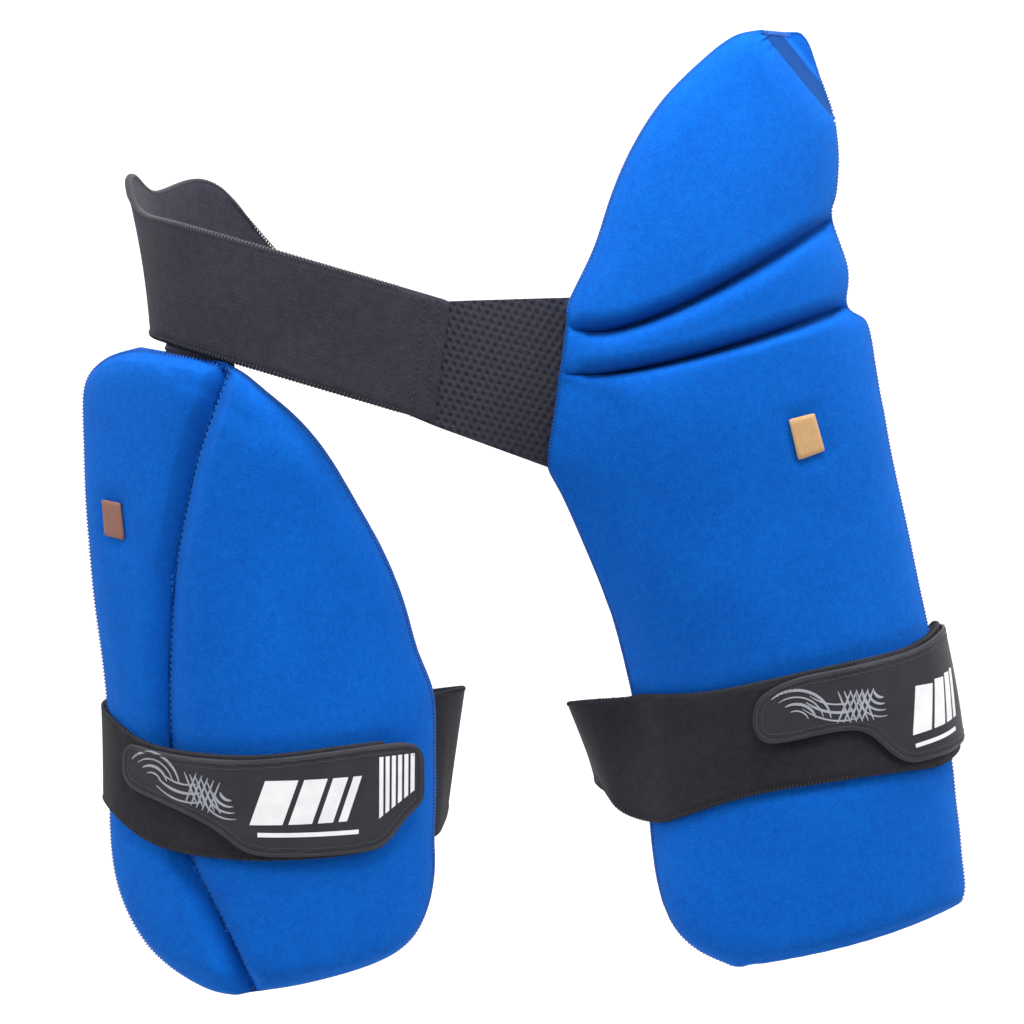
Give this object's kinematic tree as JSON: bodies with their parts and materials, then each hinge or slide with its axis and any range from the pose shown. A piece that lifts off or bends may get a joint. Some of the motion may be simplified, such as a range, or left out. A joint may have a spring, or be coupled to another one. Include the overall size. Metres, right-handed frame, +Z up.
{
  "type": "cricket thigh guard",
  "caption": "Padded outer thigh guard with hip flap and inner thigh guard, hung on an elastic waist belt, with elastic leg straps and hook tabs, as worn.",
  "frame": {"origin": "middle of the waist loop, where the set sits on its wearer", "axes": "+X to the wearer's left, +Y to the wearer's back (the front faces -Y), +Z up"},
  "size_m": [0.4564, 0.2396, 0.4845],
  "materials": {
    "guard_fabric": "brushed loop fabric over foam, matte",
    "belt_elastic": "woven elastic, matte",
    "strap_elastic": "brushed elastic, matte",
    "spacer_mesh": "knitted spacer mesh, matte",
    "tab_rubber": "moulded rubber with light print, satin",
    "label_tan": "woven label, matte",
    "label_brown": "woven label, matte"
  },
  "bodies": {
    "root": {"outer_guard": "guard_fabric", "inner_guard": "guard_fabric", "waist_belt": "belt_elastic", "belt_mesh_panel": "spacer_mesh", "hanger_tab": "belt_elastic", "outer_leg_strap": "strap_elastic", "outer_strap_tab": "tab_rubber", "inner_leg_strap": "strap_elastic", "inner_strap_tab": "tab_rubber", "outer_label": "label_tan", "inner_label": "label_brown"}
  },
  "joints": []
}
